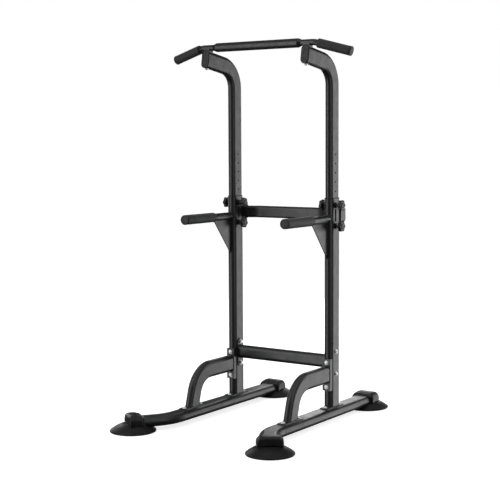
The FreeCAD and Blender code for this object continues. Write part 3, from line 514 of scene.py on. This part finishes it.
def foam_tube(name, start, end, outer, inner, cad_node, body):
    """A foam sleeve: rolled ends and a surface that dips slightly here and there."""
    axis = end - start
    length = axis.length
    place = along(axis, start)
    outside = [(outer - share * FOAM_LIP, inset) for share, inset in FOAM_ROLL] + [(outer, FOAM_LIP)]
    for band in range(1, FOAM_BANDS):
        outside.append((outer, FOAM_LIP + (length - 2 * FOAM_LIP) * band / FOAM_BANDS))
    outside.append((outer, length - FOAM_LIP))
    outside += [(outer - share * FOAM_LIP, length - inset) for share, inset in reversed(FOAM_ROLL)]
    rings = []
    for reach, height in outside:
        ring = []
        for x, y in foam_ring(reach):
            spot = Vector((x * WAVE_ROUND, y * WAVE_ROUND, height * WAVE_ALONG + start.x * WAVE_SHIFT))
            scale = 1 + WAVE_DEPTH * min(0.0, noise.noise(spot) - 0.5)
            ring.append((x * scale, y * scale, height))
        rings.append(ring)
    rings += turned(((inner, length), (inner, 0.0)), foam_ring)
    piece = finish_mesh(name, loft_mesh(name, placed(rings, place), cyclic=True), FOAM, body, 50)
    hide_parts(cad_node)


PLUG_DEPTH = 0.0119


def cap_rings(radius, thick, place, plug):
    """A moulded end disc: rounded rim, a shallow ring groove and its plug behind."""
    profile = rounded([
        (0.002, -PLUG_DEPTH, 0), (plug, -PLUG_DEPTH, 0.001), (plug, 0.0, 0.0003),
        (radius - 0.0006, 0.0, 0.0008),
        (radius, thick * 0.45, 0.0012), (radius - 0.0008, thick, 0.0018), (radius * 0.74, thick, 0.0004),
        (radius * 0.71, thick - 0.0008, 0.0004), (radius * 0.66, thick - 0.0008, 0.0004),
        (radius * 0.63, thick, 0.0004), (0.002, thick, 0)], steps=3)
    return placed(turned(profile), place)


def round_cap(name, radius, thick, origin, direction, plug, body):
    mesh = loft_mesh(name, cap_rings(radius, thick, along(direction, origin), plug))
    return finish_mesh(name, mesh, PLASTIC, body, 40)


def grip_axis(node, direction):
    """The two ends of a straight round CAD piece that lies along a direction."""
    direction = Vector(direction).normalized()
    centre = middle(node)
    reaches = [(vertex.co - centre).dot(direction) for vertex in frame["nodes"][node].data.vertices]
    return centre + direction * min(reaches), centre + direction * max(reaches)


DIP_GRIP, DIP_TUBE, DIP_BORE = 0.0245, 0.01905, 0.01695
ARM_GRIP, ARM_TUBE, ARM_BORE = 0.0225, 0.01505, 0.01295
ARM_TURN, ARM_SWEEP = math.radians(17), math.radians(28.7)
CAP_THICK, CAP_OVERLAP = 0.005, 0.0008

dip_caps, arm_caps = [], []
for side, sign in SIDES:
    start, end = grip_axis(f"dip_grip_{side}", (0, -1, 0))
    foam_tube(f"dip_foam_{side}", start, end, DIP_GRIP, DIP_TUBE, f"dip_grip_{side}", BASE)
    dip_caps.append(round_cap(f"dip_cap_{side}", DIP_GRIP, CAP_THICK, end, (0, -1, 0), DIP_BORE, BASE))
    inward = Vector((0, math.sin(ARM_SWEEP), -math.cos(ARM_SWEEP)))
    way = Vector((sign, 0, 0)) * math.cos(ARM_TURN) + inward * math.sin(ARM_TURN)
    start, end = grip_axis(f"bar_grip_{side}", way)
    foam_tube(f"bar_foam_{side}", start, end, ARM_GRIP, ARM_TUBE, f"bar_grip_{side}", TOP)
    arm_caps.append(round_cap(f"bar_cap_{side}", ARM_GRIP + CAP_OVERLAP, CAP_THICK, end, way, ARM_BORE, TOP))
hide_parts("dip_end_caps")
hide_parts("bar_end_caps")


# ---------------------------------------------------------------- gooseneck end caps
NECK_LONG, NECK_SHORT = 0.087, 0.041
NECK_RISE = math.radians(9)


def neck_cap(side, sign):
    """A flat-oval plug with a slightly flanged, softly crowned face."""
    centre = max(islands("gooseneck_caps"), key=lambda island: sign * island[0].x)[0]
    onward = Vector((0, -math.cos(NECK_RISE), math.sin(NECK_RISE)))
    reaches = [(vertex.co - centre).dot(onward) for vertex in frame["nodes"]["gooseneck_caps"].data.vertices]
    face = centre + onward * max(reaches)
    up = Vector((0, math.sin(NECK_RISE), math.cos(NECK_RISE)))
    across = up.cross(onward)
    place = Matrix((up, across, up.cross(across))).transposed().to_4x4()
    if (place.to_3x3() @ Vector((0, 0, 1))).dot(onward) < 0:
        place = Matrix((up, -across, onward)).transposed().to_4x4()
    place.translation = face
    grown = [(-0.0040, -0.0119), (-0.0021, -0.0117), (-0.0021, -0.0050), (0.0014, -0.0050), (0.0020, -0.0044),
             (0.0020, -0.0024), (0.0016, -0.0012), (0.0008, -0.0004), (-0.0030, 0.0), (-0.0090, 0.0)]
    rings = [[(x, y, z) for x, y in oval(NECK_LONG + 2 * grow, NECK_SHORT + 2 * grow)] for grow, z in grown]
    return finish_mesh(f"neck_cap_{side}", loft_mesh("neck_cap", placed(rings, place)), PLASTIC, TOP,
                       40)


for side, sign in SIDES:
    neck_cap(side, sign)
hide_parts("gooseneck_caps")


# ---------------------------------------------------------------- guide bushes
# the lock pins' passage, the play round the mast and the sleeve's step in below the lip
PIN_WAY, MAST_PLAY, SLEEVE_STEP = 0.0065, 0.0006, 0.0069


def guide_collar(side, sign):
    """The moulded collar on each upright's top: rounded lip with a lead-in round the mast."""
    centre, low, high = max(islands("guide_bushes"), key=lambda island: sign * island[0].x)
    top = high.z
    out_long, out_short = high.y - low.y, high.x - low.x
    in_long, in_short = NECK_LONG + MAST_PLAY, NECK_SHORT + MAST_PLAY
    wide, tight = (out_long - SLEEVE_STEP, out_short - SLEEVE_STEP), (in_long, in_short)
    profile = [
        (wide, low.z), (wide, top - 0.0041), ((out_long - 0.0004, out_short - 0.0004), top - 0.0040),
        ((out_long, out_short), top - 0.0034), ((out_long, out_short), top - 0.0016),
        ((out_long - 0.0008, out_short - 0.0008), top - 0.0005),
        ((out_long - 0.0024, out_short - 0.0024), top), ((in_long + 0.0030, in_short + 0.0030), top),
        ((in_long + 0.0010, in_short + 0.0010), top - 0.0008),
        (tight, top - 0.0026), (tight, low.z)]
    turn = Matrix.Translation((centre.x, centre.y, 0)) @ Matrix.Rotation(math.pi / 2, 4, "Z")
    rings = [[(x, y, z) for x, y in oval(*spans)] for spans, z in profile]
    seat = (centre.x, centre.y, middle(f"lock_pin_{side}_outer").z)
    bore = turned([(PIN_WAY, -out_long), (PIN_WAY, out_long)])
    pin_way = loft_mesh("pin_way", placed(bore, along((1, 0, 0), seat)))
    mesh = carved(loft_mesh("collar", placed(rings, turn), cyclic=True), pin_way)
    return finish_mesh(f"guide_collar_{side}", mesh, PLASTIC, BASE, 40)


for side, sign in SIDES:
    guide_collar(side, sign)
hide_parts("guide_bushes")


# ---------------------------------------------------------------- star knobs
KNOB_RADIUS, KNOB_THICK, KNOB_FACETS = 0.028, 0.024, 144
KNOB_SPIN = {"outer": 1, "inner": 0.6}


def knob_ring(reach):
    return circle(reach, KNOB_FACETS)


def lobe_ring(inset):
    return lobed(KNOB_RADIUS, inset, count=KNOB_FACETS)


def knob_mesh(place):
    """Six round lobes with softened rims, a raised hub below and a dished cap on top."""
    hub = ((0.0064, 0.0), (0.0122, 0.0), (0.0130, 0.0008), (0.0130, 0.0036), (0.0136, 0.0041))
    # inset of the lobes and height
    star = ((0.0044, 0.0042), (0.0022, 0.0044), (0.0008, 0.0052), (0.0001, 0.0066), (0.0, 0.0085),
            (0.0, 0.0160), (0.0003, 0.0182), (0.0012, 0.0198), (0.0028, 0.0209), (0.0046, 0.0214))
    cap = ((0.0152, 0.0216), (0.0138, 0.0217), (0.0131, 0.0222), (0.0128, 0.0234), (0.0120, 0.0240),
           (0.0100, 0.0240), (0.0090, 0.0236), (0.0040, 0.0233))
    rings = turned(hub, knob_ring) + turned(star, lobe_ring) + turned(cap, knob_ring)
    return loft_mesh("knob", placed(rings, place))


def knob(label, node, place, body):
    piece = finish_mesh(label, knob_mesh(place), KNOB, body, 42)
    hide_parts(node)


CLAMP_SHANK, CLAMP_LENGTH, CLAMP_FACETS = 0.006, 0.0194, 36
THREAD_PITCH, THREAD_DEPTH, THREAD_TURNS = 0.0015, 0.0006, 12


def clamp_screw(label, place, body):
    """The lower knob's screw, seen between knob and boss: fine thread rings."""
    profile = [(0.002, -CLAMP_LENGTH), (CLAMP_SHANK - 0.0008, -CLAMP_LENGTH),
               (CLAMP_SHANK, -CLAMP_LENGTH + 0.0008)]
    for turn in range(THREAD_TURNS):
        low = -CLAMP_LENGTH + 0.001 + turn * THREAD_PITCH
        profile += [(CLAMP_SHANK - THREAD_DEPTH, low), (CLAMP_SHANK, low + THREAD_PITCH / 2)]
    profile += [(CLAMP_SHANK, 0.002), (0.002, 0.002)]
    mesh = loft_mesh(label, placed(turned(profile, lambda reach: circle(reach, CLAMP_FACETS)), place))
    return finish_mesh(label, mesh, STEEL, body, 50)


for side, sign in SIDES:
    for kind in ("outer", "inner"):
        out = sign if kind == "outer" else -sign
        for level, body in (("upper", f"knob_{side}_{kind}"), ("lower", f"clamp_{side}_{kind}")):
            low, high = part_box(f"{level}_knob_{side}_{kind}")
            face_x = (high.x if out > 0 else low.x) - out * KNOB_THICK
            origin = Vector((face_x, (low.y + high.y) / 2, (low.z + high.z) / 2))
            spin = Matrix.Rotation(math.pi / 6 * KNOB_SPIN[kind], 4, "Z")
            place = along((out, 0, 0), origin) @ spin
            knob(f"star_{level}_{side}_{kind}", f"{level}_knob_{side}_{kind}", place, body)
            if level == "lower":
                clamp_screw(f"clamp_screw_{side}_{kind}", place, body)


# ---------------------------------------------------------------- bolts
def bolt_rings(length):
    """A domed head with a hex socket, on a washer; the washer's seat is at zero."""
    outside = (
        (0.0030, -length), (0.0046, -length), (0.0050, -length + 0.0006), (0.0050, -0.0001),
        (0.0101, 0.0), (0.0105, 0.0003), (0.0105, 0.0012), (0.0102, 0.0016), (0.0088, 0.0016),
        (0.0084, 0.0018), (0.0085, 0.0030), (0.0083, 0.0042), (0.0077, 0.0055), (0.0068, 0.0065),
        (0.0056, 0.0071), (0.0048, 0.0071))
    socket = ((0.0042, 0.0070), (0.0040, 0.0066), (0.0039, 0.0036))
    return turned(outside) + turned(socket, hexagon) + turned([(0.0010, 0.0030)])


def bolt(name, seat, direction, length, body, spin=0.0):
    place = along(direction, seat) @ Matrix.Rotation(spin, 4, "Z")
    return finish_mesh(name, loft_mesh(name, placed(bolt_rings(length), place)), ZINC, body, 36)


def nut_rings():
    """A hexagon nut on its washer; the washer's seat is at zero."""
    washer = ((0.0052, 0.0), (0.0101, 0.0), (0.0105, 0.0003), (0.0105, 0.0012), (0.0102, 0.0016),
              (0.0080, 0.0016))
    flats = ((0.0078, 0.0017), (0.0085, 0.0022), (0.0085, 0.0078), (0.0079, 0.0085))
    return turned(washer) + turned(flats, hexagon) + turned([(0.0060, 0.0086), (0.0052, 0.0080)])


def seats(node):
    """Each bolt's middle, lowest and highest corner, in a settled order."""
    return sorted(islands(node), key=lambda island: tuple(round(value, 4) for value in island[0]))


HEAD_RISE = 0.0071
BOLT_SPIN, CROSS_SPIN = 0.4, 0.5
NUT_SPAN = 0.03


def replace_bolts(node, direction, body):
    """A modelled bolt in each CAD bolt's place, its head towards the direction."""
    axis = max(range(3), key=lambda i: abs(direction[i]))
    for index, (centre, low, high) in enumerate(seats(node)):
        length = high[axis] - low[axis] - HEAD_RISE
        seat = centre.copy()
        seat[axis] = (high[axis] if direction[axis] > 0 else low[axis]) - direction[axis] * HEAD_RISE
        bolt(f"{node}_{index}", seat, direction, length, body, BOLT_SPIN * index)
    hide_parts(node)


replace_bolts("foot_bolts", Vector((0, 0, 1)), BASE)
replace_bolts("flange_bolts", Vector((0, -1, 0)), BASE)
replace_bolts("bracket_screws", Vector((0, 1, 0)), BASE)

# the crossbar's long solids are bolts and its short ones are nuts
for index, (centre, low, high) in enumerate(seats("crossbar_bolts")):
    outward = math.copysign(1, centre.x)
    outer_end, inner_end = (high.x, low.x) if outward > 0 else (low.x, high.x)
    reach = abs(outer_end - inner_end)
    if reach > NUT_SPAN:
        seat = Vector((outer_end - outward * HEAD_RISE, centre.y, centre.z))
        bolt(f"crossbar_bolt_{index}", seat, (outward, 0, 0), reach - HEAD_RISE, BASE,
                               CROSS_SPIN)
    else:
        seat = Vector((outer_end, centre.y, centre.z))
        finish_mesh(f"crossbar_nut_{index}", loft_mesh(
            "nut", placed(nut_rings(), along((-outward, 0, 0), seat))), ZINC, BASE, 36)
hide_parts("crossbar_bolts")

neck_down = Vector((0, -math.sin(NECK_RISE), -math.cos(NECK_RISE)))
for index, (centre, _, _) in enumerate(seats("saddle_bolts")):
    members = [vertex.co for vertex in frame["nodes"]["saddle_bolts"].data.vertices
               if vertex.co.x * centre.x > 0]
    spans = [(point - centre).dot(neck_down) for point in members]
    seat = centre + neck_down * (max(spans) - HEAD_RISE)
    bolt(f"saddle_bolt_{index}", seat, neck_down, max(spans) - min(spans) - HEAD_RISE, TOP)
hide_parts("saddle_bolts")


# ---------------------------------------------------------------- weld beads
BEAD_STEP, BEAD_SIDES, BEAD_POINTS = 0.0011, 8, 48
RIPPLE_STEPS, RIPPLE, LUMPS, LUMP_SCALE = 3.4, 0.16, 0.10, 300
TAPER_START, TAPER_STEPS = 0.35, 4


def bead(name, points, normals, radius, body, closed=True):
    """A rippled weld bead along points; each normal leans the bead away from the corner."""
    dense, count = [], len(points)
    spans = count if closed else count - 1
    for index in range(spans):
        first, second = points[index], points[(index + 1) % count]
        lean_a, lean_b = normals[index], normals[(index + 1) % count]
        steps = max(1, round((second - first).length / BEAD_STEP))
        for step in range(steps):
            t = step / steps
            dense.append((first.lerp(second, t), lean_a.lerp(lean_b, t).normalized()))
    if not closed:
        dense.append((points[-1], normals[-1]))
    rings, total = [], len(dense)
    for index, (point, lean) in enumerate(dense):
        before = dense[index - 1][0] if closed or index else point
        after = dense[(index + 1) % total][0] if closed or index < total - 1 else point
        tangent = (after - before).normalized()
        side = tangent.cross(lean).normalized()
        lean = side.cross(tangent)
        swell = radius * (1 + RIPPLE * math.cos(TAU * index / RIPPLE_STEPS)
                          + LUMPS * noise.noise(point * LUMP_SCALE))
        ends = 1.0 if closed else min(1.0, TAPER_START + min(index, total - 1 - index) / TAPER_STEPS)
        rings.append([point + swell * ends * (math.cos(a) * side + math.sin(a) * lean)
                      for a in (TAU * k / BEAD_SIDES for k in range(BEAD_SIDES))])
    return finish_mesh(name, loft_mesh(name, rings, cyclic=closed), WELD, body, 70)


def level_loop(centre, length, breadth):
    """An oval path round a standing tube, with outward and upward leaning normals."""
    points, leans = [], []
    for x, y in oval(length, breadth, BEAD_POINTS):
        flat = Vector((y, x, 0))
        points.append(centre + flat)
        leans.append((flat.normalized() + Vector((0, 0, 1))).normalized())
    return points, leans


UPRIGHT_LONG, UPRIGHT_SHORT, UPRIGHT_X = 0.094, 0.048, 0.290
ARCH_LONG, ARCH_SHORT, ARCH_HEAD = 0.088, 0.042, 0.238
DIP_RADIUS = 0.019
# a bead's centre line stands this far off the plate, and its loop is this much longer than the tube
BEAD_RISE, LOOP_GROWTH = 0.0006, 0.001
FOOT_BEAD, TUBE_BEAD, BAR_BEAD, WEB_BEAD = 0.0021, 0.0020, 0.0019, 0.0016
FOOT_SLICE = 0.0003
# the gusset's runs start and stop this far from its corners
WEB_BELOW, WEB_ABOVE, WEB_END = 0.012, 0.004, 0.006
for side, sign in SIDES:
    low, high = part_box(f"lower_upright_{side}")
    axis_x, axis_y = sign * UPRIGHT_X, (low.y + high.y) / 2
    foot_loop = level_loop(Vector((axis_x, axis_y, low.z + BEAD_RISE)),
                           UPRIGHT_LONG + LOOP_GROWTH, UPRIGHT_SHORT + LOOP_GROWTH)
    bead(f"weld_upright_foot_{side}", *foot_loop, FOOT_BEAD, BASE)
    # arch foot: the tube leans, so its cut is a slightly longer oval
    arch_low, arch_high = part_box(f"arch_brace_{side}")
    cut = [vertex.co for vertex in frame["nodes"][f"arch_brace_{side}"].data.vertices
           if vertex.co.z < arch_low.z + FOOT_SLICE]
    near, far = min(point.y for point in cut), max(point.y for point in cut)
    centre = Vector((axis_x, (near + far) / 2, arch_low.z + BEAD_RISE))
    bead(f"weld_arch_foot_{side}", *level_loop(centre, far - near + LOOP_GROWTH, ARCH_SHORT), FOOT_BEAD, BASE)
    # arch head on its flange
    face_y = arch_high.y
    points, leans = [], []
    for z, x in oval(ARCH_LONG, ARCH_SHORT, BEAD_POINTS):
        flat = Vector((x, 0, z))
        points.append(Vector((axis_x, face_y - BEAD_RISE, ARCH_HEAD)) + flat)
        leans.append((flat.normalized() + Vector((0, -1, 0))).normalized())
    bead(f"weld_arch_head_{side}", points, leans, TUBE_BEAD, BASE)
    # dip tube on the upright's rounded front
    nose = UPRIGHT_SHORT / 2
    nose_y = axis_y - (UPRIGHT_LONG - UPRIGHT_SHORT) / 2
    dip_z = middle(f"dip_grip_{side}").z
    points, leans = [], []
    for x, z in circle(DIP_RADIUS + 0.0005, BEAD_POINTS):
        y = nose_y - math.sqrt(max(0.0, nose ** 2 - x ** 2)) - 0.0004
        points.append(Vector((axis_x + x, y, dip_z + z)))
        leans.append((Vector((x, 0, z)).normalized() + Vector((0, -1, 0))).normalized())
    bead(f"weld_dip_tube_{side}", points, leans, TUBE_BEAD, BASE)
    # gusset: two runs down the upright and two under the tube
    web_low, web_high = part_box(f"dip_gusset_{side}")
    for edge, lean_x in (("a", -1), ("b", 1)):
        x = axis_x + lean_x * (web_high.x - web_low.x) / 2
        front = nose_y - math.sqrt(nose ** 2 - (x - axis_x) ** 2) - 0.0005
        run = [Vector((x, front, z)) for z in (web_low.z + WEB_BELOW, dip_z - DIP_RADIUS - WEB_ABOVE)]
        lean = Vector((lean_x, -1, 0)).normalized()
        bead(f"weld_gusset_down_{side}_{edge}", run, [lean, lean], WEB_BEAD, BASE, closed=False)
        under = dip_z - math.sqrt(DIP_RADIUS ** 2 - (x - axis_x) ** 2) - 0.0004
        run = [Vector((x, y, under)) for y in (front - WEB_END, web_low.y + WEB_END)]
        lean = Vector((lean_x, 0, -1)).normalized()
        bead(f"weld_gusset_top_{side}_{edge}", run, [lean, lean], WEB_BEAD, BASE, closed=False)
    # crossbar on its end plate
    bar_low, bar_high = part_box("lower_crossbar")
    end_x = bar_high.x * sign
    points, leans = [], []
    for z, y in oval(bar_high.z - bar_low.z + LOOP_GROWTH, bar_high.y - bar_low.y + LOOP_GROWTH, BEAD_POINTS):
        flat = Vector((0, y, z))
        points.append(Vector((end_x - sign * BEAD_RISE, axis_y, (bar_low.z + bar_high.z) / 2)) + flat)
        leans.append((flat.normalized() + Vector((-sign, 0, 0))).normalized())
    bead(f"weld_crossbar_{side}", points, leans, BAR_BEAD, BASE)


# ---------------------------------------------------------------- finishes on the carried-over parts
slot_of = {part["node"]: part["material_slot"] for part in frame["record"]["subparts"]}
for node, thing in frame["nodes"].items():
    thing.data.materials.clear()
    thing.data.materials.append(SLOT_LOOKS[slot_of[node]])


# ---------------------------------------------------------------- floor, light and camera
FLOOR_REACH, FLOOR_DROP = 60.0, 0.0004
CAMERA_EYE = (3.2928, -4.9322, 1.3907)
CAMERA_ANGLES = (34.328, 5.179, -0.295)  # yaw, pitch and roll in degrees
SENSOR_WIDTH, LENS, CLIP_END = 36.0, 86.73, 200
WORLD_TO_CAMERA, WORLD_TO_OBJECT = 1.0, 0.05
# name, place, aim, width, height and power; the front one reaches below the floor for its reflection
PANELS = (
    ("panel_right", (2.35, 3.70, 0.35), (0.3, 0.2, 0.6), 2.4, 4.2, 86),
    ("panel_front", (-1.90, -3.40, 1.35), (0, 0, 1.1), 1.5, 6.5, 108),
    ("panel_nose", (3.30, -0.90, 1.20), (0, 0, 1.1), 1.2, 3.0, 20),
    ("panel_left", (-3.60, 1.20, 1.20), (0, 0, 0.9), 1.6, 3.0, 30),
    ("panel_back", (-1.60, 4.20, 1.40), (0, 0, 1.0), 2.0, 3.6, 50))
SKY_FROM, SKY_STRENGTH, SKY_SPREAD = (0.5, -0.4, 2.2), 1.2, 90


def stage_floor():
    """A wide pale floor with the faintest mottling; it lights nothing above it."""
    material = new_material("studio_floor", (0.86, 0.86, 0.86), 0.65, Specular_IOR_Level=0.2,
                            Emission_Color=(1, 1, 1, 1), Emission_Strength=0.72)
    cloud = ranged(material, noise_value(material, 1.3, 2.0), 0.0, 1.0)
    colour = colour_mix(material, cloud, (0.85, 0.85, 0.85), (0.87, 0.87, 0.87))
    shade(material, colour, None, ((noise_value(material, 220.0), 0.0002, 0.1),))
    mesh = bpy.data.meshes.new("studio_floor")
    corners = [(x * FLOOR_REACH, y * FLOOR_REACH, 0) for x, y in ((-1, -1), (1, -1), (1, 1), (-1, 1))]
    mesh.from_pydata(corners, [], [(0, 1, 2, 3)])
    mesh.materials.append(material)
    floor = bpy.data.objects.new("studio_floor", mesh)
    floor.location.z = -FLOOR_DROP
    floor.visible_diffuse = False
    floor.visible_glossy = False
    floor.visible_shadow = False
    bpy.context.scene.collection.objects.link(floor)


def studio_world(to_camera, to_object):
    """White behind the object, softer on the object itself."""
    world = bpy.data.worlds.new("studio")
    bpy.context.scene.world = world
    world.use_nodes = True
    tree = world.node_tree
    tree.nodes.clear()
    output = tree.nodes.new("ShaderNodeOutputWorld")
    mix = tree.nodes.new("ShaderNodeMixShader")
    path = tree.nodes.new("ShaderNodeLightPath")
    backgrounds = []
    for strength in (to_object, to_camera):
        background = tree.nodes.new("ShaderNodeBackground")
        background.inputs["Color"].default_value = (1, 1, 1, 1)
        background.inputs["Strength"].default_value = strength
        backgrounds.append(background)
    tree.links.new(path.outputs["Is Camera Ray"], mix.inputs["Fac"])
    tree.links.new(backgrounds[0].outputs[0], mix.inputs[1])
    tree.links.new(backgrounds[1].outputs[0], mix.inputs[2])
    tree.links.new(mix.outputs[0], output.inputs["Surface"])


def soft_light(name, origin, target, width, height, power):
    light = bpy.data.lights.new(name, "AREA")
    light.shape = "RECTANGLE"
    light.size, light.size_y, light.energy = width, height, power
    lamp = bpy.data.objects.new(name, light)
    lamp.location = origin
    lamp.rotation_mode = "QUATERNION"
    lamp.rotation_quaternion = (Vector(target) - Vector(origin)).to_track_quat("-Z", "Y")
    lamp.visible_camera = False
    bpy.context.scene.collection.objects.link(lamp)


def soft_sun(name, origin, strength, spread):
    light = bpy.data.lights.new(name, "SUN")
    light.energy, light.angle = strength, math.radians(spread)
    lamp = bpy.data.objects.new(name, light)
    lamp.rotation_mode = "QUATERNION"
    lamp.rotation_quaternion = (-Vector(origin)).to_track_quat("-Z", "Y")
    bpy.context.scene.collection.objects.link(lamp)


def studio_camera():
    """The camera at the photographed viewing angle."""
    yaw, pitch, roll = (math.radians(angle) for angle in CAMERA_ANGLES)
    forward = Vector((-math.sin(yaw) * math.cos(pitch), math.cos(yaw) * math.cos(pitch), -math.sin(pitch)))
    level = Vector((math.cos(yaw), math.sin(yaw), 0))
    rise = level.cross(forward)
    right = level * math.cos(roll) + rise * math.sin(roll)
    up = right.cross(forward)
    camera = bpy.data.cameras.new("studio_camera")
    camera.sensor_width = SENSOR_WIDTH
    camera.lens = LENS
    camera.clip_end = CLIP_END
    eye = bpy.data.objects.new("studio_camera", camera)
    eye.matrix_world = Matrix((right, up, -forward)).transposed().to_4x4()
    eye.location = CAMERA_EYE
    bpy.context.scene.collection.objects.link(eye)
    bpy.context.scene.camera = eye


stage_floor()
studio_world(WORLD_TO_CAMERA, WORLD_TO_OBJECT)
for panel in PANELS:
    soft_light(*panel)
soft_sun("skylight", SKY_FROM, SKY_STRENGTH, SKY_SPREAD)
studio_camera()
bpy.context.scene.view_settings.view_transform = "Standard"
